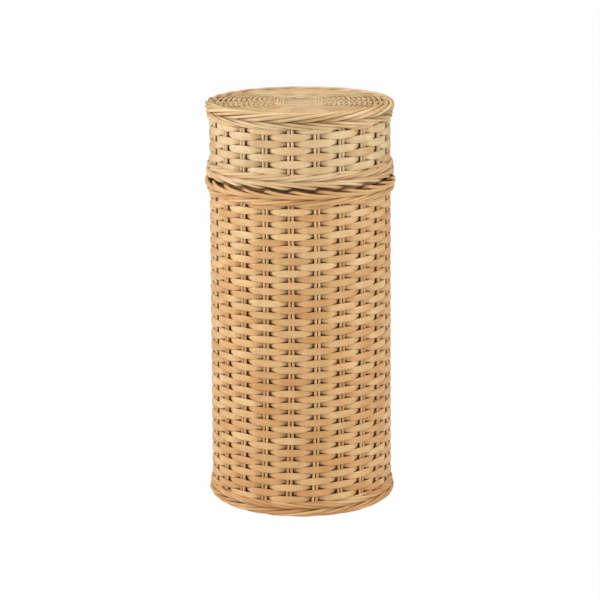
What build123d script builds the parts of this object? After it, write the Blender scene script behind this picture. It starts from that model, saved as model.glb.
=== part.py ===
"""A round lidded basket of natural rattan, woven on paired stakes.

Pairs of round cane cross in the middle of the bottom, open out like the spokes of a wheel
and stand up as the stakes of the wall.  Flat cane is woven in and out between the stakes.
The stake ends are plaited down into thick borders at the rim and at the foot.
The lid is the same work upside down.  It sits on the rim border, round an upright hoop.

Millimetres, +Z up, origin on the floor in the middle of the basket, front towards -Y.
"""

import math
import os

from build123d import *

# Overall sizes
overall_height = 317.5
border_diameter = 152.4
lid_height = 58.5
seat_gap = 0.3

# Cane
rod_diameter = 2.1
weaver_thickness = 1.3
weaver_width = 4.4

# Weave of the walls
pair_count = 22
rod_gap = 0.8
row_gap = 0.3
weave_clearance = 0.1
wall_inset = 4.0

# Plaited borders
foot_height = 14.0
rim_height = 14.0
lid_rim_height = 12.0
lid_top_height = 13.5
edge_relief = 3.8
wall_band_inset = 1.6
wall_relief = 2.6
start_spread = 0.66
end_spread = 0.16
foot_inset = 1.7
lid_rim_inset = 0.8

# Crossed spokes and woven mat of the bottom and of the lid top
across_count = 6
along_count = 5
lane_gap = 0.2
layer_gap = 0.1
fan_start = 3.0
mat_thickness = 3.0
mat_opening = 30.0
mat_rows = 10
mat_relief = 1.2
mat_clearance = 0.2
floor_gap = 1.5
lid_recess = 1.5
binding_width = 1.8
binding_thickness = 1.0
binding_gap = 0.4
bindings_each_end = 2

# Hoop that stands up inside the rim and keeps the lid in place
hoop_thickness = 1.8
hoop_height = 40.0
hoop_rise = 16.0
hoop_clearance = 0.3

# Sizes that follow from the values above
border_radius = border_diameter / 2
wall_radius = border_radius - wall_inset
rod_radius = rod_diameter / 2
rod_spacing = rod_diameter + rod_gap
lane_pitch = rod_spacing + rod_diameter + lane_gap
stake_pitch = 360 / pair_count
front_angle = -90
row_pitch = weaver_width + row_gap
rod_sides = 4

lid_bottom = overall_height - lid_height
basket_height = lid_bottom - seat_gap
basket_wall_top = basket_height - rim_height
lid_wall_bottom = lid_bottom + lid_rim_height
lid_wall_top = overall_height - lid_top_height


def stand_off(side, stakes, own, other):
    """How far a weaver's middle stands off the circle of stakes where it passes a pair.

    side is 1 for a pass outside the stakes and -1 for one inside.  The weaver runs straight
    to the next pair, where it is on the other side, so it slopes past the two rods.
    """
    turn = math.radians(stake_pitch)
    here = stakes + side * own
    there = stakes - side * other
    slope = max(0, side * (here - there * math.cos(turn)) / (there * math.sin(turn)))
    past_rods = (rod_radius + weave_clearance) * math.hypot(1, slope)
    return weaver_thickness / 2 + rod_spacing / 2 * slope + past_rods


# The circle of stakes and the two stand-offs depend on each other, so they are settled in turn
outside = rod_radius + weaver_thickness / 2
inside = outside
for _ in range(12):
    stake_radius = wall_radius - weaver_thickness / 2 - outside
    outside = stand_off(1, stake_radius, outside, inside)
    inside = stand_off(-1, stake_radius, inside, outside)

inner_radius = stake_radius - inside - weaver_thickness / 2
mat_radius = inner_radius - mat_clearance
hoop_radius = inner_radius - hoop_clearance


def round_points(first, shift):
    """Corners of one woven round: outside the pairs first, first + 2 ..., inside the others."""
    points = []
    for i in range(pair_count):
        angle = math.radians(front_angle + i * stake_pitch)
        radius = stake_radius + (outside if i % 2 == first else -inside) + shift
        points.append((radius * math.cos(angle), radius * math.sin(angle)))
    return points


def row_planes(bottom, top, first):
    """Every other row between two heights, spread evenly over the wall."""
    rows = int((top - bottom - row_gap) / row_pitch)
    rise = (top - bottom - row_gap) / rows
    return [Plane.XY.offset(bottom + row_gap + i * rise) for i in range(first, rows, 2)]


def woven_rounds(bottom, top, first):
    """Rounds of flat cane, alternate rows of a wall, as separate solids."""
    with BuildPart() as rounds:
        with BuildSketch(*row_planes(bottom, top, first)):
            with BuildLine():
                Polyline(*round_points(first, weaver_thickness / 2), close=True)
            make_face()
            with BuildLine():
                Polyline(*round_points(first, -weaver_thickness / 2), close=True)
            make_face(mode=Mode.SUBTRACT)
        extrude(amount=weaver_width)
    return rounds


def stakes(bottom, top):
    """Pairs of upright rods round the wall."""
    with BuildPart() as rods:
        with BuildSketch(Plane.XY.offset(bottom)):
            with PolarLocations(stake_radius, pair_count, start_angle=front_angle):
                with Locations((0, -rod_spacing / 2), (0, rod_spacing / 2)):
                    RegularPolygon(rod_radius, rod_sides)
        extrude(amount=top - bottom)
    return rods


def wedge(angle, turn, *outlines):
    """A length of a ring, drawn from outline to outline, each in an upright plane a turn further on."""
    with BuildPart() as length:
        for i in range(len(outlines)):
            facing = math.radians(angle + i * turn)
            outward = (math.cos(facing), math.sin(facing), 0)
            ahead = (math.sin(facing), -math.cos(facing), 0)
            with BuildSketch(Plane((0, 0, 0), x_dir=outward, z_dir=ahead)):
                with BuildLine():
                    Polyline(*outlines[i], close=True)
                make_face()
        loft(ruled=True)
    return length


def border(edge, wall, inset, lean):
    """A plaited border between its free edge and the wall, one stroke to a stake pair.

    A stroke starts broad, with one cane at the edge and one at the wall.  They run together
    along it, to the right where lean is 1 and to the left where it is -1, under the next start.
    """
    outer = border_radius - inset
    corner = inner_radius / math.cos(math.radians(stake_pitch / 2))
    outlines = []
    for spread in (start_spread, end_spread):
        at_edge = edge + (wall - edge) * (1 - spread) / 2
        at_wall = wall + (edge - wall) * (1 - spread) / 2
        outlines.append([
            (corner, edge),
            (outer - edge_relief, edge),
            (outer, at_edge),
            (outer - wall_band_inset, at_wall),
            (outer - wall_band_inset - wall_relief, wall),
            (corner, wall),
        ])
    stroke = wedge(front_angle - lean * stake_pitch / 2, lean * stake_pitch, *outlines)
    with BuildPart() as ring:
        with PolarLocations(0, pair_count):
            add(stroke.part)
    return ring


def spokes(height, lanes, other_lanes, turned):
    """Pairs of rods that cross the middle side by side, then fan out to the stakes."""
    crossing = other_lanes * lane_pitch / 2 + fan_start
    last = (lanes - 1) / 2
    level = Plane.XY.offset(height).rotated((0, 0, turned))
    with BuildPart() as rods:
        for i in range(lanes):
            step = i - last
            # The outer lanes turn off first, each inner one a rod's width further on
            lane_end = crossing + (last - abs(step)) * rod_spacing
            angle = math.radians(step * stake_pitch)
            tip_x = mat_radius * math.cos(angle)
            tip_y = mat_radius * math.sin(angle)
            lane_y = step * lane_pitch
            with BuildLine(level) as lane:
                Polyline((-tip_x, tip_y), (-lane_end, lane_y), (lane_end, lane_y), (tip_x, tip_y))
            with BuildSketch(Plane(lane.line @ 0, x_dir=(0, 0, 1), z_dir=lane.line % 0)):
                with Locations((0, -rod_spacing / 2), (0, rod_spacing / 2)):
                    RegularPolygon(rod_radius, rod_sides)
            sweep(path=lane.line, transition=Transition.RIGHT)
    return rods


def mat(bottom):
    """The woven disc over the spokes, its rows over one pair and under the next, open in the middle."""
    first = mat_opening / math.sqrt(2)
    middle = mat_opening / 3
    width = (mat_radius - first) / mat_rows
    top = bottom + mat_thickness
    outlines = []
    for i in range(3):
        outline = [(middle, bottom), (mat_radius, bottom), (mat_radius, top - mat_relief / 2)]
        for row in reversed(range(mat_rows)):
            outline.append((first + (row + 0.5) * width, top - (row + i) % 2 * mat_relief))
        outlines.append(outline + [(first, top - mat_relief / 2), (middle, top - mat_relief / 2)])
    two_strokes = wedge(front_angle, stake_pitch, *outlines)
    with BuildPart() as disc:
        with PolarLocations(0, pair_count // 2):
            add(two_strokes.part)
        with BuildSketch(Plane.XY.offset(bottom)):
            Rectangle(mat_opening, mat_opening)
        extrude(amount=mat_thickness, mode=Mode.SUBTRACT)
    return disc


def bindings(bottom):
    """Short canes that tie the crossing down at both ends of its opening."""
    length = mat_opening - 2 * mat_clearance
    with BuildPart() as ties:
        with BuildSketch(Plane.XY.offset(bottom)):
            for i in range(bindings_each_end):
                edge = mat_opening / 2 - mat_clearance - i * (binding_width + binding_gap)
                with Locations((edge - binding_width / 2, 0), (binding_width / 2 - edge, 0)):
                    Rectangle(binding_width, length)
        extrude(amount=binding_thickness)
    return ties


def write(piece, name):
    piece.part.label = name
    export_step(piece.part, f"parts/{name}.step")


os.makedirs("parts", exist_ok=True)

# Bottom and lid top: a mat over two levels of spokes, tied where they cross
base_mat_bottom = floor_gap + 2 * rod_diameter + layer_gap + mat_clearance
lid_mat_bottom = overall_height - lid_recess - mat_thickness
for name, mat_bottom in (("base", base_mat_bottom), ("lid", lid_mat_bottom)):
    across_level = mat_bottom - mat_clearance - rod_radius
    along_level = across_level - rod_diameter - layer_gap
    write(mat(mat_bottom), f"{name}_mat")
    write(bindings(across_level + rod_radius), f"{name}_bindings")
    write(spokes(across_level, across_count, along_count, 0), f"{name}_spokes_across")
    write(spokes(along_level, along_count, across_count, 90), f"{name}_spokes_along")

# Walls of the basket and of the lid: stakes and two weavers that pass them by turns
for name, bottom, top in (
    ("wall", foot_height, basket_wall_top),
    ("lid", lid_wall_bottom, lid_wall_top),
):
    write(stakes(bottom, top), f"{name}_stakes")
    write(woven_rounds(bottom, top, 0), f"{name}_weaver_a")
    write(woven_rounds(bottom, top, 1), f"{name}_weaver_b")

# Borders that close the ends of both walls
write(border(0, foot_height, foot_inset, 1), "foot_border")
write(border(basket_height, basket_wall_top, 0, 1), "rim_border")
write(border(lid_bottom, lid_wall_bottom, lid_rim_inset, -1), "lid_rim_border")
write(border(overall_height, lid_wall_top, 0, -1), "lid_top_border")

# Hoop inside the rim
with BuildPart() as rim_hoop:
    with BuildSketch(Plane.XY.offset(basket_height + hoop_rise - hoop_height)):
        RegularPolygon(hoop_radius, pair_count)
        RegularPolygon(hoop_radius - hoop_thickness, pair_count, mode=Mode.SUBTRACT)
    extrude(amount=hoop_height)
write(rim_hoop, "rim_hoop")
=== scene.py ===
"""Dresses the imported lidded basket: each cane of its walls, borders and mats is a strand."""

import math
import random

import bmesh
import bpy
import numpy as np
from bpy.props import FloatProperty, FloatVectorProperty, IntProperty, PointerProperty
from mathutils import Matrix, Vector


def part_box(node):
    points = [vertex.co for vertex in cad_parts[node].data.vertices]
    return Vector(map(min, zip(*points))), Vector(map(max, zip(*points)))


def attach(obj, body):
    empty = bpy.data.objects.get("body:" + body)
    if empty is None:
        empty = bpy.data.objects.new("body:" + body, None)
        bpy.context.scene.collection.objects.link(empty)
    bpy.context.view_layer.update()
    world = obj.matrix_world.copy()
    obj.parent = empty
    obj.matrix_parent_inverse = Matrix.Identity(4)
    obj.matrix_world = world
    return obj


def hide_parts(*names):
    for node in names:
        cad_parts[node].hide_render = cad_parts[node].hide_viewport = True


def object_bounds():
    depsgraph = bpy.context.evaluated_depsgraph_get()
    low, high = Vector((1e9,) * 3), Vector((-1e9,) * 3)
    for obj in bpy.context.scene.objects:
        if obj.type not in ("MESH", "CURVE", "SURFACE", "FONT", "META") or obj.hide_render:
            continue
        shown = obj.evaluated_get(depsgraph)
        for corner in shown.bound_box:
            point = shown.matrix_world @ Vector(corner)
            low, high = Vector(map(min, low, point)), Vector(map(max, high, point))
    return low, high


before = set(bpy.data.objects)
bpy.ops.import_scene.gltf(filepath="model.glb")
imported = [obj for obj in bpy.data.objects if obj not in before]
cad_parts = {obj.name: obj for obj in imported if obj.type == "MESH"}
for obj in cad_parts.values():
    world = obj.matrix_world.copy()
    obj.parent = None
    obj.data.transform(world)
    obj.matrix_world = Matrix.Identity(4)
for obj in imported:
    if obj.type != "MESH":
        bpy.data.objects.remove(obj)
cad_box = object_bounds()
stake_front = -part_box("wall_stakes")[0].y

bl_info = {
    "name": "Rattan Basket",
    "version": (1, 0, 0),
    "blender": (4, 5, 0),
    "location": "View3D > Sidebar > Basket",
    "description": "Lays the canes of a lidded rattan basket round its packed solids",
    "category": "Object",
}

TURN = 2 * math.pi
MM = 0.001


# Sizes and colours


def length(name, description, default):
    return FloatProperty(name=name, description=description, default=default, unit="LENGTH",
                         precision=5)


def rotation(name, description, default):
    return FloatProperty(name=name, description=description, default=default, subtype="ANGLE")


def colour(name, description, default):
    return FloatVectorProperty(name=name, description=description, default=default,
                               subtype="COLOR", size=3, min=0, max=1)


class BasketSizes(bpy.types.PropertyGroup):
    """Sizes of the canes and counts of the weave."""

    pair_count: IntProperty(name="Stake pairs", description="Pairs of stakes round the wall",
                            default=22)
    flare: FloatProperty(name="Flare", description="How much wider the foot is than half height",
                         default=0.012)
    lean: rotation("Lean", "How far the stakes lean round the foot", 0.05)
    rod: length("Stake cane", "Diameter of a round stake cane", 0.0021)
    stake_spacing: length("Stake spacing", "Between the middles of a pair's two stakes", 0.00275)
    rod_spacing: length("Spoke spacing", "Between the middles of a pair's two spokes", 0.00225)
    weaver_width: length("Weaver width", "Width of the flat cane, more than a row's height", 0.0053)
    weaver_thickness: length("Weaver thickness", "Thickness of the flat cane of the walls", 0.0013)
    row_pitch: length("Row pitch", "Rise from one row of the wall to the next", 0.00475)
    lid_row_pitch: length("Lid row pitch", "Rise from one row of the lid to the next", 0.00517)
    row_jitter: length("Row jitter", "How far a stroke strays up or down", 0.0001)
    plait_rod: length("Border cane", "Diameter of the round cane of the borders", 0.0026)
    mat_width: length("Mat cane width", "Width of the flat cane of the mats", 0.0025)
    mat_thickness: length("Mat cane thickness", "Thickness of the flat cane of the mats", 0.0011)
    mat_pitch: length("Mat row pitch", "From one row of a mat to the next", 0.00215)
    spoke_rod: length("Spoke cane", "Diameter of a round cane of the mats", 0.0019)
    lane_pitch: length("Lane pitch", "Between spoke pairs where they cross", 0.0057)


class BasketColours(bpy.types.PropertyGroup):
    """Colours of the canes, pale and deep ends of each range."""

    wall_pale: colour("Wall pale", "Palest cane of the wall", (0.80, 0.53, 0.25))
    wall_deep: colour("Wall deep", "Deepest cane of the wall", (0.60, 0.32, 0.11))
    lid_pale: colour("Lid pale", "Palest cane of the lid", (0.80, 0.60, 0.34))
    lid_deep: colour("Lid deep", "Deepest cane of the lid", (0.60, 0.39, 0.175))
    floor: colour("Floor", "Floor and backdrop", (0.93, 0.93, 0.93))


class BasketStage(bpy.types.PropertyGroup):
    """Where the camera stands."""

    focal_px: FloatProperty(name="Focal length", description="In pixels of the square frame",
                            default=2104)
    distance: length("Distance", "From the basket's axis to the camera", 1.625)
    aside: length("Aside", "From the basket's axis to the right", -0.0007)
    height: length("Camera height", "Above the floor", 0.561)
    bearing: rotation("Bearing", "Round the basket from its front, to the right", math.radians(6.0))
    pitch: rotation("Pitch", "How far the camera looks down", math.radians(13.98))
    roll: rotation("Roll", "Turn about the line of sight", math.radians(-0.35))


def sizes():
    return bpy.context.scene.basket_sizes


def colours():
    return bpy.context.scene.basket_colours


# Places round the basket


def polar(angle, radius, height):
    """A point round the basket's axis; angle 0 is the front and grows towards the right.

    The radius is the one at half height; the basket is a little wider below and narrower above,
    and its stakes lean towards the foot.
    """
    middle = (cad_box[0].z + cad_box[1].z) / 2
    below = 1 - height / middle
    radius *= 1 + sizes().flare * below
    angle -= sizes().lean * max(0, below) ** 2
    return Vector((radius * math.sin(angle), -radius * math.cos(angle), height))


def stake_angle(i):
    return TURN * i / sizes().pair_count


def stake_radius():
    return stake_front - sizes().rod / 2


def between(value, low, high):
    """0 up to low, 1 from high on and even in between."""
    return min(1, max(0, (value - low) / (high - low)))


def eased(part):
    """A share from 0 to 1 that starts and ends gently."""
    return part * part * (3 - 2 * part)


# Shader nodes


class Value:
    """A socket that takes part in Python expressions; each operation adds a Math node."""

    def __init__(self, shader, socket):
        self.shader = shader
        self.socket = socket

    def math(self, operation, *others):
        return self.shader.add("Math", dict(enumerate((self, *others))), {"operation": operation})

    def __add__(self, other):
        return self.math("ADD", other)

    def __sub__(self, other):
        return self.math("SUBTRACT", other)

    def __rsub__(self, other):
        return self * -1 + other

    def __mul__(self, other):
        return self.math("MULTIPLY", other)

    __radd__ = __add__
    __rmul__ = __mul__


class Shader:
    """The node tree of a material or of the world, filled by one method for every node."""

    def __init__(self, owner):
        owner.use_nodes = True
        self.nodes = owner.node_tree.nodes
        self.links = owner.node_tree.links
        self.nodes.clear()

    def add(self, kind, inputs=(), settings=(), output=0):
        """Adds a node with its settings and its inputs, values or links, and gives an output."""
        node = self.nodes.new("ShaderNode" + kind)
        for key, value in dict(settings).items():
            setattr(node, key, value)
        for key, value in dict(inputs).items():
            if isinstance(value, Value):
                self.links.new(value.socket, node.inputs[key])
            else:
                node.inputs[key].default_value = value
        return Value(self, node.outputs[output]) if node.outputs else None

    def mix(self, factor, first, second, blend="MIX"):
        """Mixes two colours, which are the Mix node's inputs 6 and 7 and its output 2."""
        return self.add("Mix", {0: factor, 6: first, 7: second},
                        {"data_type": "RGBA", "blend_type": blend}, output=2)

    def noise(self, vector, scale, detail, roughness=0.5):
        return self.add("TexNoise", {"Vector": vector, "Scale": scale, "Detail": detail,
                                     "Roughness": roughness})

    def remap(self, value, low, high, first=0.0, last=1.0):
        return self.add("MapRange", {"Value": value, "From Min": low, "From Max": high,
                                     "To Min": first, "To Max": last})

    def attribute(self, name):
        return self.add("Attribute", settings={"attribute_name": name}, output="Fac")


WHITE = (1.0, 1.0, 1.0, 1.0)


def opaque(rgb):
    return (*rgb, 1.0)


# Cane

# Tints of a cane for its painted shade, where it dips behind others or lies in a crevice, and for
# its rosier lengths
PAINTED_SHADE_TINT = (0.17, 0.095, 0.05, 1.0)
BLUSH = (1.0, 0.9, 0.83, 1.0)
# The fibre pattern runs round a ring and on along the cane; a cane's tone shifts its patterns
FIBRE_RING = 1.4
FIBRE_RUN = 60
TONE_FIBRE_SHIFT = 90
TONE_DRIFT_SHIFT = 7.0
# How much each pattern, and the tone, takes a cane from pale to deep
DRIFT_DEPTH = 2.2
SLOW_DEPTH = 1.6
TONE_DEPTH = 0.7
# Heights between which the canes go from a little deeper, at the foot, to a little paler
FADE_HEIGHTS = (0.1, 0.26)
FADE_DEPTH = (0.16, -0.1)
# Parts of the patterns' range that redden, streak and roughen a cane
BLUSH_RANGE = (0.42, 0.66)
STREAK_RANGE = (0.35, 0.68)
STREAK_LIGHT = (0.84, 1.06)
GRAIN_RANGE = (0.3, 0.7)
GRAIN_ROUGHNESS = 0.12
GRAIN_HEIGHT = 0.2 * MM
CANE_ROUGHNESS = 0.36
LATH_ROUGHNESS = 0.5

# The body that each family of canes rides on and the slots of its uses
FAMILIES = {
    "wall": {"body": "basket", "weaver": "wall_cane", "stake": "stake_cane",
             "border": "border_cane", "lath": "hoop_lath"},
    "lid": {"body": "lid", "weaver": "lid_cane", "stake": "lid_stake_cane",
            "border": "lid_border_cane"},
}


def cane_material(name, pale, deep, roughness):
    """Split or round cane: drifts of colour along its length, fine fibres and a slight sheen."""
    material = bpy.data.materials.new(name)
    s = Shader(material)
    uv = s.add("UVMap", settings={"uv_map": "UVMap"})
    along = s.add("SeparateXYZ", {"Vector": uv}, output="X")
    turn = s.add("SeparateXYZ", {"Vector": uv}, output="Y") * TURN
    tone = s.attribute("tone")
    ring = s.add("CombineXYZ", {"X": turn.math("COSINE") * FIBRE_RING,
                                "Y": turn.math("SINE") * FIBRE_RING,
                                "Z": along * FIBRE_RUN + tone * TONE_FIBRE_SHIFT})
    fibre = s.noise(ring, scale=3.2, detail=4.0, roughness=0.65)
    path = s.add("CombineXYZ", {"X": along, "Y": tone * TONE_DRIFT_SHIFT, "Z": 0.0})
    drift = s.noise(path, scale=30.0, detail=2.0)
    blush = s.noise(path, scale=21.0, detail=1.0)
    slow = s.noise(path, scale=7.0, detail=1.0)

    place = s.add("TexCoord", output="Object")
    height = s.add("SeparateXYZ", {"Vector": place}, output="Z")
    fade = s.remap(height, *FADE_HEIGHTS, *FADE_DEPTH)
    depth = ((drift - 0.5) * DRIFT_DEPTH + (slow - 0.5) * SLOW_DEPTH
             + (tone - 0.5) * TONE_DEPTH + 0.5 + fade)
    body = s.mix(s.add("Clamp", {"Value": depth}), opaque(pale), opaque(deep))

    # Painted shade: the attribute that the strands carry darkens the cane towards its shade tint
    body = s.mix(s.attribute("painted_shade"), body, PAINTED_SHADE_TINT, "MULTIPLY")
    body = s.mix(s.remap(blush, *BLUSH_RANGE), body, BLUSH, "MULTIPLY")
    streak = s.remap(fibre, *STREAK_RANGE, *STREAK_LIGHT)
    streaks = s.add("CombineColor", {"Red": streak, "Green": streak, "Blue": streak})
    surface = s.add("BsdfPrincipled", {
        "Base Color": s.mix(1.0, body, streaks, "MULTIPLY"),
        "Roughness": s.remap(fibre, *GRAIN_RANGE, roughness + GRAIN_ROUGHNESS, roughness),
        "Normal": s.add("Bump", {"Strength": 0.35, "Distance": GRAIN_HEIGHT, "Height": fibre}),
    })
    s.add("OutputMaterial", {"Surface": surface})
    return material


def family_material(family, use):
    """The cane of one use, made the first time that a piece asks for it."""
    name = "laid_" + FAMILIES[family][use]
    if name in bpy.data.materials:
        return bpy.data.materials[name]
    c = colours()
    pale, deep = (c.wall_pale, c.wall_deep) if family == "wall" else (c.lid_pale, c.lid_deep)
    return cane_material(name, pale, deep, LATH_ROUGHNESS if use == "lath" else CANE_ROUGHNESS)


# Strands

# The lid is set down a little turned, which shows in the crossing on its top
LID_TURN = math.radians(5)
LID_TOP = ("lid_mat", "lid_bindings", "lid_spokes_across", "lid_spokes_along")

# How far up the outer side a full wedge of painted shadow reaches, in half widths, and how soft its
# end is
WEDGE_REACH = 0.85
WEDGE_BLUR = 0.25
# How narrow the painted shade along the edges of flat cane is
EDGE_SHARPNESS = 8
MERGE_DISTANCE = 1e-7


class Strands:
    """The strands of one piece: each is a bevelled curve, turned into mesh and gathered.

    A section is an ellipse, or squarer where fullness is above 2.  Edge is how much painted shade
    darkens the edges of flat cane.
    """

    def __init__(self, name, half_width, half_thickness, upright=True, sides=10, fullness=2,
                 edge=0):
        self.name = name
        self.edge = edge
        self.turn = Matrix.Rotation(LID_TURN if name in LID_TOP else 0, 3, "Z")
        self.wide = half_width > half_thickness
        self.mesh = bmesh.new()
        self.draw = random.Random(name)
        self.path = bpy.data.curves.new(name + "_path", "CURVE")
        self.path.dimensions = "3D"
        self.path.twist_mode = "Z_UP" if upright else "MINIMUM"
        self.path.use_fill_caps = True
        self.path.resolution_u = 5
        self.outline = bpy.data.curves.new(name + "_outline", "CURVE")
        self.outline.dimensions = "2D"
        section = self.outline.splines.new("POLY")
        section.points.add(sides - 1)
        section.use_cyclic_u = True
        for i, point in enumerate(section.points):
            across, up = math.cos(TURN * i / sides), math.sin(TURN * i / sides)
            point.co = (half_thickness * math.copysign(abs(across) ** (2 / fullness), across),
                        half_width * math.copysign(abs(up) ** (2 / fullness), up), 0, 1)
        self.rig = [bpy.data.objects.new(data.name, data) for data in (self.path, self.outline)]
        for helper in self.rig:
            bpy.context.scene.collection.objects.link(helper)
        self.path.bevel_mode = "OBJECT"
        self.path.bevel_object = self.rig[1]

    def lay(self, points, swell=None, dips=(0,), backs=None, wedges=(0,), tone=None,
            smooth=False, closed=False):
        """Adds a strand along points; swell scales its section and dips paints shade on it at each
        of them.

        Where backs is given, it paints the shade of the inner side instead.  Wedges paints a shadow
        on the outer side from its lower edge up.  Tone sets the strand's shade of cane, drawn where
        none is given.
        """
        spline = self.path.splines.new("NURBS" if smooth else "POLY")
        spline.points.add(len(points) - 1)
        for point, place, scale in zip(spline.points, points, swell or [1] * len(points)):
            point.co = (*(self.turn @ place), 1)
            point.radius = scale
        spline.use_cyclic_u = closed
        if smooth:
            spline.order_u = 4
            spline.use_endpoint_u = not closed
        bpy.context.view_layer.update()
        evaluated = self.rig[0].evaluated_get(bpy.context.evaluated_depsgraph_get())
        mesh = bpy.data.meshes.new_from_object(evaluated)

        # The map's first axis runs from 0 to 1 along the strand; it is stretched to metres
        corners = mesh.uv_layers[0].uv
        uv = np.empty(2 * len(corners), np.float32)
        corners.foreach_get("vector", uv)
        shades = self.shades(uv[0::2], TURN * uv[1::2], dips, backs or dips, wedges)
        uv[0::2] *= sum((b - a).length for a, b in zip(points, points[1:]))
        corners.foreach_set("vector", uv)
        # The painted shade goes to the material as an attribute of the corners
        darkness = mesh.attributes.new("painted_shade", "FLOAT", "CORNER")
        darkness.data.foreach_set("value", shades.astype(np.float32))
        tone = self.draw.random() if tone is None else tone
        tones = mesh.attributes.new("tone", "FLOAT", "POINT")
        tones.data.foreach_set("value", np.full(len(mesh.vertices), tone, np.float32))
        self.mesh.from_mesh(mesh)
        bpy.data.meshes.remove(mesh)
        self.path.splines.clear()

    def shades(self, along, around, dips, backs, wedges):
        """How much painted shade the strand takes at places along it and round its section."""
        painted_shade, back, wedge = (np.interp(along, np.linspace(0, 1, len(marks)), marks)
                            for marks in (dips, backs, wedges))
        up, out = np.sin(around), np.cos(around)
        wedge = np.clip((WEDGE_REACH * wedge - 1 - up) / WEDGE_BLUR, 0, 1)
        edges = self.edge * np.abs(up if self.wide else out) ** EDGE_SHARPNESS
        return np.maximum(edges, np.where(out > 0, np.maximum(painted_shade, wedge), back))

    def finish(self, family, use):
        """Makes the piece, puts it on its body and hides the solid that it stands for."""
        mesh = bpy.data.meshes.new(self.name)
        bmesh.ops.remove_doubles(self.mesh, verts=self.mesh.verts, dist=MERGE_DISTANCE)
        self.mesh.to_mesh(mesh)
        self.mesh.free()
        mesh.shade_smooth()
        mesh.materials.append(family_material(family, use))
        piece = bpy.data.objects.new(self.name, mesh)
        bpy.context.scene.collection.objects.link(piece)
        for helper in self.rig:
            bpy.data.objects.remove(helper)
        bpy.data.curves.remove(self.path)
        bpy.data.curves.remove(self.outline)
        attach(piece, FAMILIES[family]["body"])
        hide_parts(self.name)


def round_strands(name, diameter):
    return Strands(name, diameter / 2, diameter / 2, upright=False)


def ring_points(radius, height, steps):
    return [polar(TURN * k / steps, radius, height) for k in range(steps)]


# Walls

# Borders below and above each wall, and rows from the lower one's top to the first row's middle
WALLS = {
    "wall": {"low": "foot_border", "high": "rim_border", "pitch": "row_pitch", "lead": -1.07},
    "lid": {"low": "lid_rim_border", "high": "lid_top_border", "pitch": "lid_row_pitch",
            "lead": -1.64},
}

# Stakes: how far their ends go into the borders, how far they stand proud of the circle of
# stakes, in diameters, and how far they stray
STAKE_HOLD = 6 * MM
STAKE_PROUD = 0.4
STAKE_STRAY = 0.12 * MM

# Weavers: where a stroke stops being flat and where it is at its deepest, from 0 over a pair to 1
# behind the next
STROKE_FLAT = 0.45
STROKE_DEEP = 1.0
WEAVER_STEPS = 12
WEAVER_FULLNESS = 2.4
WEAVER_SIDES = 14
# Painted shade along the edges of the wall cane, where the rows meet
WEAVER_EDGE = 0.38
WEAVER_FIT = (0.99, 1.03)
WEAVER_TONES = (0.45, 0.55)
# The border covers a weaver that starts at least this far below its top, in rows
COVERED_LEAD = -0.5
# Width of a stroke: all along it, its gain over a pair and its gain where it is hidden
STROKE_WIDTH = 0.99
STROKE_BELLY = 0.13
HIDDEN_WIDTH = 0.32
# Between which shares of the way behind, or of the way out, a stroke's sides take painted shade:
# the outer side going behind, the inner side coming out, and a painted shadow wedge under its ends
DIP_SHADE = (0.6, 0.95)
BACK_SHADE = (0.9, 1)
WEDGE_SHADE = (0.45, 0.84)


def wall_span(wall):
    """The heights between which a wall's weave shows."""
    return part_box(WALLS[wall]["low"])[1].z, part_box(WALLS[wall]["high"])[0].z


def away_at(spans):
    """0 where a weaver passes over a pair, 1 where it passes behind the next."""
    return abs((spans + 1) % 2 - 1)


def stroke(away):
    """How far out a weaver is: 1 over a pair, where it lies flat, and -1 behind the next."""
    return 1 - 2 * eased(between(away, STROKE_FLAT, STROKE_DEEP))


def lay_stakes(wall):
    """Pairs of upright rods, a little uneven."""
    s = sizes()
    low, high = wall_span(wall)
    out = stake_radius() + STAKE_PROUD * s.rod
    steps = 2 * (int((high - low) / s.row_pitch) + 2)
    strands = round_strands(f"{wall}_stakes", s.rod)
    for i in range(s.pair_count):
        for side in (-0.5, 0.5):
            angle = stake_angle(i) + side * s.stake_spacing / out
            points = []
            for k in range(steps + 1):
                height = low - STAKE_HOLD + (high - low + 2 * STAKE_HOLD) * k / steps
                stray = strands.draw.uniform(-1, 1) * STAKE_STRAY
                points.append(polar(angle + stray / out, out + stray, height))
            strands.lay(points)
    strands.finish(wall, "stake")


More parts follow.
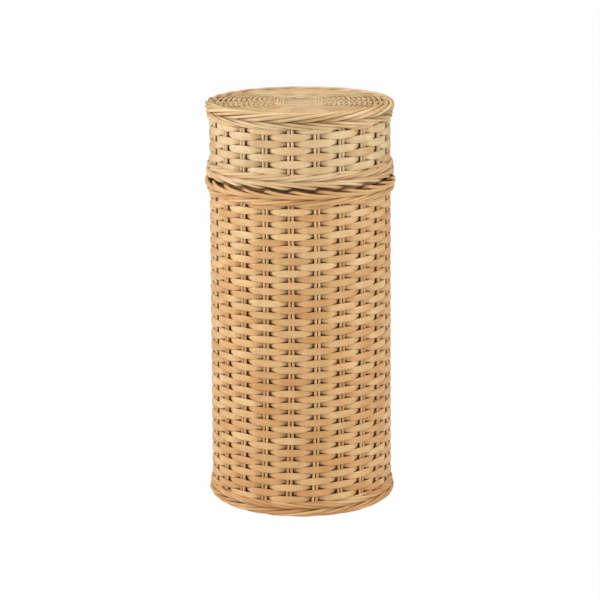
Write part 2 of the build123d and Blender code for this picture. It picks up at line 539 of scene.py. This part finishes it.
def lay_weaver(wall, which):
    """One of the two weavers that chase each other up the wall, which rise two rows a turn."""
    s = sizes()
    low, high = wall_span(wall)
    pitch = getattr(s, WALLS[wall]["pitch"])
    strands = Strands(f"{wall}_weaver_{'ab'[which]}", s.weaver_width / 2 * pitch / s.row_pitch,
                      s.weaver_thickness / 2, sides=WEAVER_SIDES, fullness=WEAVER_FULLNESS,
                      edge=WEAVER_EDGE)
    throw = (s.rod + s.weaver_thickness) / 2
    # The weave starts at the back
    first = s.pair_count // 2
    lead = WALLS[wall]["lead"] + which
    # An end that the border wouldn't cover starts one turn, two rows, further down
    start = low + (lead if lead < COVERED_LEAD else lead - 2) * pitch
    spans = int((high + pitch - start) / (2 * pitch) * s.pair_count)
    strays = [strands.draw.uniform(-1, 1) * s.row_jitter for _ in range(spans + 2)]
    fits = [strands.draw.uniform(*WEAVER_FIT) for _ in range(spans + 2)]
    points, swell, dips, backs, wedges = [], [], [], [], []
    for k in range(spans * WEAVER_STEPS + 1):
        span, step = divmod(k, WEAVER_STEPS)
        part = step / WEAVER_STEPS
        stray, fit = (marks[span] + (marks[span + 1] - marks[span]) * eased(part)
                      for marks in (strays, fits))
        away = away_at(first + span + part + which)
        out = stake_radius() + throw * stroke(away)
        rise = 2 * pitch * (span + part) / s.pair_count
        points.append(polar(stake_angle(first + span + part), out, start + rise + stray))
        behind = (1 - stroke(away)) / 2
        belly = STROKE_BELLY * math.cos(math.pi * away)
        swell.append(fit * (STROKE_WIDTH + belly + HIDDEN_WIDTH * behind ** 3))
        # Painted shade on its outer and inner sides and a painted shadow under its ends
        dips.append(between(behind, *DIP_SHADE))
        backs.append(between(1 - behind, *BACK_SHADE))
        wedges.append(between(away, *WEDGE_SHADE))
    strands.lay(points, swell, dips, backs, wedges, tone=WEAVER_TONES[which])
    strands.finish(wall, "weaver")


# Borders

# Routes of the plaited strands: stake pitches along the edge, millimetres out from the stakes,
# millimetres in from the edge and how much painted shade the strand takes there, most where it
# turns in
EDGE_ROUTE = (
    (-1.5, -2.6, 4.4, 1.0), (-1.1, -2.4, 2.8, 0.6), (-0.7, -1.7, 1.9, 0.1), (-0.3, -0.5, 1.45, 0.0),
    (0.1, 1.2, 1.3, 0.0), (0.5, 3.1, 1.4, 0.0), (0.9, 4.7, 2.0, 0.0), (1.3, 5.6, 2.9, 0.0),
    (1.7, 5.8, 4.1, 0.0), (2.1, 5.5, 5.3, 0.0), (2.5, 4.7, 6.4, 0.0), (2.9, 3.3, 7.3, 0.4),
    (3.2, 1.5, 8.0, 1.0),
)
SEAM_ROUTE = (
    (-0.3, -1.8, 5.5, 1.0), (-0.12, -0.6, 3.2, 0.8), (0.02, 1.8, 1.6, 0.3), (0.16, 4.2, 1.3, 0.0),
    (0.42, 5.2, 2.4, 0.0), (0.85, 5.7, 4.3, 0.0), (1.4, 5.8, 5.3, 0.0), (1.9, 5.6, 5.9, 0.0),
    (2.4, 4.9, 6.6, 0.0), (2.8, 3.5, 7.3, 0.4), (3.1, 1.5, 8.0, 1.0),
)
WALL_ROUTE = (
    (-0.3, -0.5, 1.0, 1.0), (0.0, 1.4, 0.9, 0.4), (0.3, 3.0, 1.1, 0.0), (0.7, 4.0, 1.8, 0.0),
    (1.2, 4.4, 3.0, 0.0), (1.7, 4.5, 4.3, 0.0), (2.2, 4.3, 5.5, 0.0), (2.7, 3.2, 6.7, 0.5),
    (3.0, 1.6, 7.4, 1.0),
)
# The routes are drawn for a border this far out and this deep, in millimetres
ROUTE_OUT = 5.8
ROUTE_DEPTH = 14.0
# Depth and bulge are shares of what the solid border has
BORDERS = {
    "foot_border": {"family": "wall", "edge": "low", "lean": 1, "route": EDGE_ROUTE,
                    "depth": 0.84, "bulge": 0.86},
    "rim_border": {"family": "wall", "edge": "high", "lean": 1, "route": SEAM_ROUTE,
                   "depth": 0.88, "bulge": 0.9},
    "lid_rim_border": {"family": "lid", "edge": "low", "lean": -1, "route": SEAM_ROUTE,
                       "depth": 1, "bulge": 0.86},
    "lid_top_border": {"family": "lid", "edge": "high", "lean": -1, "route": EDGE_ROUTE,
                       "depth": 1, "bulge": 0.8},
}
PLAIT_STRAY = 0.4 * MM
PLAIT_FIT = (0.86, 1.1)
# Rods behind the plait, painted wholly in shade, by their share of its depth
CORE_PLACES = (0.25, 0.45, 0.65, 0.85)
CORE_OUT = 1.3 * MM
CORE_STEPS = 88


def lay_border(name):
    """Two bands of strands, one turned over the edge and one against the wall."""
    s = sizes()
    border = BORDERS[name]
    low, high = (corner.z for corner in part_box(name))
    edge, inward = (low, 1) if border["edge"] == "low" else (high, -1)
    depth = (high - low) * border["depth"]
    radius = stake_radius()
    bulge = (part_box(name)[1].x - radius - s.plait_rod / 2) / ROUTE_OUT * border["bulge"]
    strands = round_strands(name, s.plait_rod)
    for i in range(s.pair_count):
        for route in (border["route"], WALL_ROUTE):
            points = []
            for along, out, inset, _ in route:
                share = 1 - inset / ROUTE_DEPTH if route is WALL_ROUTE else inset / ROUTE_DEPTH
                angle = stake_angle(i + border["lean"] * along)
                stray = strands.draw.uniform(-PLAIT_STRAY, PLAIT_STRAY)
                height = edge + inward * depth * share
                points.append(polar(angle, radius + out * bulge + stray, height))
            fit = strands.draw.uniform(*PLAIT_FIT)
            strands.lay(points, [fit] * len(points), [place[3] for place in route], smooth=True)
    for share in CORE_PLACES:
        core = ring_points(radius + CORE_OUT, edge + inward * share * depth, CORE_STEPS)
        strands.lay(core, dips=[1], closed=True)
    strands.finish(border["family"], "border")


# Mats

# Family of each mat and how far the ends of its spokes turn up, less than 0 for down
DISCS = {"base": ("wall", 4 * MM), "lid": ("lid", -4 * MM)}
SPOKES_ACROSS = 6
SPOKES_ALONG = 5
FAN_START = 3 * MM
SEARCH_STEPS = 24
# One rod of a spoke pair takes painted shade, which draws shaded lines across the crossing
SPOKE_SHADES = (0, 0.7)

# Mat canes: reach of the first row, what is left free by the stakes, and turns that are added
# because the first and last laps run level
MAT_FIRST = 19.4 * MM
MAT_MARGIN = 2 * MM
MAT_LAP = 1.5
MAT_STEPS = 10
# Painted shade along the edges of the mat cane
MAT_EDGE = 0.8
MAT_WIDTH = 0.94
MAT_BELLY = 0.06
# Reach of the squarest row, in lanes, and how much its power is above a circle's
SQUARE_LANES = 4.16
SQUARE_POWER = 2.2

# Bindings: half sizes of the cane, where they lie in millimetres, half length and height
BINDING_HALF = (0.6 * MM, 1.0 * MM)
BINDING_PLACES = (-17.0, -14.8, -12.6, 12.6, 14.8, 17.0)
BINDING_LANES = 3
BINDING_RISE = 0.5 * MM
BINDING_TONE = -0.4
# A binding's arch: shares of its half length and of its height
BINDING_ARCH = ((-1.1, -0.6), (-1.05, 0.5), (-0.9, 1), (-0.45, 1), (0, 1), (0.45, 1), (0.9, 1),
                (1.05, 0.5), (1.1, -0.6))


def row_radius(angle, reach):
    """Radius of a mat row, a rounded square: squarest by the crossing and round outside."""
    first = SQUARE_LANES * sizes().lane_pitch
    power = 2 + SQUARE_POWER * (1 - between(reach, first, stake_radius())) ** 2
    return reach / (abs(math.cos(angle)) ** power + abs(math.sin(angle)) ** power) ** (1 / power)


class SpokeFan:
    """Plan of the spokes: lanes that cross in the middle and fan out to the stakes."""

    def __init__(self):
        s = sizes()
        self.lanes = []
        for count, other, turned in ((SPOKES_ACROSS, SPOKES_ALONG, 0),
                                     (SPOKES_ALONG, SPOKES_ACROSS, 1)):
            last = (count - 1) / 2
            for k in range(count):
                step = k - last
                # The outer lanes turn off first, each inner one a rod's width further on
                bend = other * s.lane_pitch / 2 + FAN_START + (last - abs(step)) * s.rod_spacing
                self.lanes.append((turned, step, bend))

    def half(self, lane, end):
        """Bend and tip of one end of a lane, as plan points."""
        turned, step, bend = lane
        tip, angle = stake_radius(), stake_angle(step)
        near = Vector((end * bend, step * sizes().lane_pitch))
        far = Vector((end * tip * math.cos(angle), tip * math.sin(angle)))
        return (near.orthogonal(), far.orthogonal()) if turned else (near, far)

    def crossings(self, reaches):
        """Angles at which the spokes, in order round the mat, meet a row; reaches are the row's."""
        ends = [self.half(lane, end) for lane in self.lanes for end in (-1, 1)]
        ends.sort(key=lambda pair: math.atan2(pair[1].y, pair[1].x))
        angles = []
        for (near, far), reach in zip(ends, reaches):
            low, high = 0.0, 1.0
            for _ in range(SEARCH_STEPS):
                middle = (low + high) / 2
                point = near.lerp(far, middle)
                inside = point.length < row_radius(math.atan2(point.y, point.x), reach)
                low, high = (middle, high) if inside else (low, middle)
            point = near.lerp(far, low)
            angles.append(math.atan2(point.y, point.x))
        return angles


def lay_mat(disc, level):
    """Two flat canes woven outwards in a spiral over and under the spokes."""
    s = sizes()
    fan = SpokeFan()
    strands = Strands(f"{disc}_mat", s.mat_thickness / 2, s.mat_width / 2, edge=MAT_EDGE)
    throw = (s.spoke_rod + s.mat_thickness) / 2
    last = stake_radius() - MAT_MARGIN
    turns = (last - MAT_FIRST) / (2 * s.mat_pitch) + MAT_LAP

    def reach_at(which, turn, pairs):
        reach = MAT_FIRST + s.mat_pitch * (which + 2 * (turn - 1 + pairs / s.pair_count))
        return min(last, max(MAT_FIRST, reach))

    for which in (0, 1):
        points, swell, dips = [], [], []
        for turn in range(math.ceil(turns)):
            angles = fan.crossings([reach_at(which, turn, k) for k in range(s.pair_count)])
            angles.append(angles[0] + TURN)
            for k in range(s.pair_count):
                if turn + k / s.pair_count > turns:
                    break
                for j in range(MAT_STEPS):
                    part = j / MAT_STEPS
                    away = away_at(k + part + which)
                    angle = angles[k] + (angles[k + 1] - angles[k]) * part
                    radius = row_radius(angle, reach_at(which, turn, k + part))
                    points.append(Vector((radius * math.cos(angle), radius * math.sin(angle),
                                          level + throw * stroke(away))))
                    swell.append(MAT_WIDTH + MAT_BELLY * math.cos(TURN * away))
                    # Painted shade where the cane dips under a spoke
                    dips.append(((1 - stroke(away)) / 2) ** 2)
        strands.lay(points, swell, dips)
    strands.finish(DISCS[disc][0], "weaver")


def side_by_side(points, spacing):
    """Two level routes, half a spacing to each side of a route."""
    left, right = [], []
    for i, point in enumerate(points):
        ahead = points[min(i + 1, len(points) - 1)] - points[max(i - 1, 0)]
        aside = ahead.cross(Vector((0, 0, 1))).normalized() * (spacing / 2)
        left.append(point + aside)
        right.append(point - aside)
    return left, right


def lay_spokes(disc, level, turned):
    """The spoke pairs of one direction, from stake to stake across the middle."""
    s = sizes()
    fan = SpokeFan()
    family, turn_up = DISCS[disc]
    strands = round_strands(f"{disc}_spokes_{'along' if turned else 'across'}", s.spoke_rod)
    lift = (-0.5 if turned else 0.5) * s.spoke_rod
    for lane in fan.lanes:
        if lane[0] != turned:
            continue
        left_near, left_far = fan.half(lane, -1)
        right_near, right_far = fan.half(lane, 1)
        plan = [(left_far, turn_up), (left_far, 0), (left_far.lerp(left_near, 0.5), 0),
                (left_near, lift), (left_near.lerp(right_near, 0.3), lift),
                (left_near.lerp(right_near, 0.7), lift), (right_near, lift),
                (right_far.lerp(right_near, 0.5), 0), (right_far, 0), (right_far, turn_up)]
        points = [Vector((place.x, place.y, level + z)) for place, z in plan]
        for shade, line in zip(SPOKE_SHADES, side_by_side(points, s.rod_spacing)):
            strands.lay(line, dips=[shade], smooth=True)
    strands.finish(family, "stake")


def lay_bindings(disc, level):
    """Canes that tie the crossing at both ends."""
    s = sizes()
    strands = Strands(f"{disc}_bindings", *BINDING_HALF)
    half = BINDING_LANES * s.lane_pitch
    top = s.spoke_rod + BINDING_RISE
    for x in BINDING_PLACES:
        points = [Vector((x * MM, y * half, level + z * top)) for y, z in BINDING_ARCH]
        strands.lay(points, tone=BINDING_TONE, smooth=True)
    strands.finish(DISCS[disc][0], "weaver")


# Hoop

HOOP_HALF = 0.9 * MM
HOOP_SIDES = 16
HOOP_STEPS = 96


def lay_hoop():
    """A broad lath bent round inside the rim."""
    low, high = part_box("rim_hoop")
    strands = Strands("rim_hoop", (high.z - low.z) / 2, HOOP_HALF, sides=HOOP_SIDES)
    ring = ring_points(high.x - HOOP_HALF, (low.z + high.z) / 2, HOOP_STEPS)
    strands.lay(ring, closed=True)
    strands.finish("wall", "lath")


# Stage

SENSOR_MM = 36
FRAME_PX = 600
FLOOR_HALF = 6
# Share of plain white in what the camera sees of the floor; the rest keeps the shadow
FLOOR_WHITE = 0.985
# Strength of the world as a light; the camera sees it at 1, as white
WORLD_LIGHT = 0.1
# Place, target, size and power of each lamp
LAMPS = {
    "key_left": ((-1.6, -0.45, 0.75), (0, 0, 0.16), (0.7, 1.0), 19.8),
    "fill_right": ((1.6, -0.4, 0.7), (0, 0, 0.16), (0.7, 1.0), 15),
    "front": ((-0.2, -1.5, 1.3), (0, 0, 0.16), (0.9, 0.9), 12.3),
    "top": ((0.1, 0.1, 1.7), (0, 0, 0.3), (0.9, 0.9), 13),
}


def set_lamp(name):
    """A rectangular lamp, turned to its target."""
    place, target, size, power = LAMPS[name]
    light = bpy.data.lights.new(name, "AREA")
    light.shape = "RECTANGLE"
    light.size, light.size_y = size
    light.energy = power
    lamp = bpy.data.objects.new(name, light)
    lamp.location = place
    lamp.rotation_euler = (Vector(target) - Vector(place)).to_track_quat("-Z", "Y").to_euler()
    bpy.context.scene.collection.objects.link(lamp)


def set_camera():
    """Stands off the basket's front, turned round it by the bearing and pitched down."""
    stage = bpy.context.scene.basket_stage
    camera = bpy.data.cameras.new("camera")
    camera.sensor_width = SENSOR_MM
    camera.lens = SENSOR_MM * stage.focal_px / FRAME_PX
    camera.clip_start = 0.05
    eye = bpy.data.objects.new("camera", camera)
    bpy.context.scene.collection.objects.link(eye)
    turn = Matrix.Rotation(stage.bearing, 4, "Z")
    place = Matrix.Translation((stage.aside, -stage.distance, stage.height))
    tilt = Matrix.Rotation(math.pi / 2 - stage.pitch, 4, "X")
    roll = Matrix.Rotation(stage.roll, 4, "Z")
    eye.matrix_world = turn @ place @ tilt @ roll
    bpy.context.scene.camera = eye


def set_floor():
    """A pale floor that the camera sees as white apart from a trace of shadow."""
    work = bmesh.new()
    bmesh.ops.create_grid(work, x_segments=1, y_segments=1, size=FLOOR_HALF)
    mesh = bpy.data.meshes.new("floor")
    work.to_mesh(mesh)
    work.free()
    floor = bpy.data.objects.new("floor", mesh)
    bpy.context.scene.collection.objects.link(floor)
    material = bpy.data.materials.new("floor")
    s = Shader(material)
    paper = s.add("BsdfDiffuse", {"Color": opaque(colours().floor)})
    white = s.add("Emission", {"Color": WHITE, "Strength": 1.0})
    seen = s.add("LightPath", output="Is Camera Ray")
    surface = s.add("MixShader", {0: seen * FLOOR_WHITE, 1: paper, 2: white})
    s.add("OutputMaterial", {"Surface": surface})
    mesh.materials.append(material)


def set_world():
    """White where the camera sees it and dim as a light."""
    world = bpy.data.worlds.new("studio")
    bpy.context.scene.world = world
    s = Shader(world)
    seen = s.add("LightPath", output="Is Camera Ray")
    strength = s.remap(seen, 0.0, 1.0, WORLD_LIGHT)
    s.add("OutputWorld", {"Surface": s.add("Background", {"Color": WHITE, "Strength": strength})})


# Operators and panel


class BASKET_OT_stakes(bpy.types.Operator):
    """Lay the paired stakes of both walls"""

    bl_idname = "basket.stakes"
    bl_label = "Stakes"

    def execute(self, context):
        for wall in WALLS:
            lay_stakes(wall)
        return {"FINISHED"}


class BASKET_OT_weavers(bpy.types.Operator):
    """Weave the flat canes of both walls"""

    bl_idname = "basket.weavers"
    bl_label = "Weavers"

    def execute(self, context):
        for wall in WALLS:
            for which in (0, 1):
                lay_weaver(wall, which)
        return {"FINISHED"}


class BASKET_OT_borders(bpy.types.Operator):
    """Plait the four borders"""

    bl_idname = "basket.borders"
    bl_label = "Borders"

    def execute(self, context):
        for name in BORDERS:
            lay_border(name)
        return {"FINISHED"}


class BASKET_OT_mats(bpy.types.Operator):
    """Lay the crossed spokes, their bindings and the mats woven round them"""

    bl_idname = "basket.mats"
    bl_label = "Mats"

    def execute(self, context):
        s = sizes()
        for disc in DISCS:
            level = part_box(f"{disc}_mat")[1].z - s.spoke_rod / 2 - s.mat_thickness
            lay_mat(disc, level)
            lay_bindings(disc, level)
            for turned in (0, 1):
                lay_spokes(disc, level, turned)
        return {"FINISHED"}


class BASKET_OT_hoop(bpy.types.Operator):
    """Bend the hoop inside the rim"""

    bl_idname = "basket.hoop"
    bl_label = "Hoop"

    def execute(self, context):
        lay_hoop()
        return {"FINISHED"}


class BASKET_OT_stage(bpy.types.Operator):
    """Set the floor, the lights and the camera"""

    bl_idname = "basket.stage"
    bl_label = "Stage"

    def execute(self, context):
        context.scene.view_settings.view_transform = "Standard"
        set_camera()
        set_floor()
        set_world()
        for name in LAMPS:
            set_lamp(name)
        return {"FINISHED"}


OPERATORS = (BASKET_OT_stakes, BASKET_OT_weavers, BASKET_OT_borders, BASKET_OT_mats,
             BASKET_OT_hoop, BASKET_OT_stage)


class BASKET_PT_panel(bpy.types.Panel):
    """The basket's steps, sizes and colours"""

    bl_label = "Rattan Basket"
    bl_idname = "BASKET_PT_panel"
    bl_space_type = "VIEW_3D"
    bl_region_type = "UI"
    bl_category = "Basket"

    def draw(self, context):
        scene = context.scene
        for operator in OPERATORS:
            self.layout.operator(operator.bl_idname)
        for group in (scene.basket_sizes, scene.basket_colours, scene.basket_stage):
            box = self.layout.box()
            for key in group.__annotations__:
                box.prop(group, key)


CLASSES = (BasketSizes, BasketColours, BasketStage, *OPERATORS, BASKET_PT_panel)


def register():
    for item in CLASSES:
        bpy.utils.register_class(item)
    bpy.types.Scene.basket_sizes = PointerProperty(type=BasketSizes)
    bpy.types.Scene.basket_colours = PointerProperty(type=BasketColours)
    bpy.types.Scene.basket_stage = PointerProperty(type=BasketStage)


def unregister():
    del bpy.types.Scene.basket_stage
    del bpy.types.Scene.basket_colours
    del bpy.types.Scene.basket_sizes
    for item in reversed(CLASSES):
        bpy.utils.unregister_class(item)


def main():
    register()
    bpy.ops.basket.stage()
    bpy.ops.basket.stakes()
    bpy.ops.basket.weavers()
    bpy.ops.basket.borders()
    bpy.ops.basket.mats()
    bpy.ops.basket.hoop()


if __name__ == "__main__":
    main()
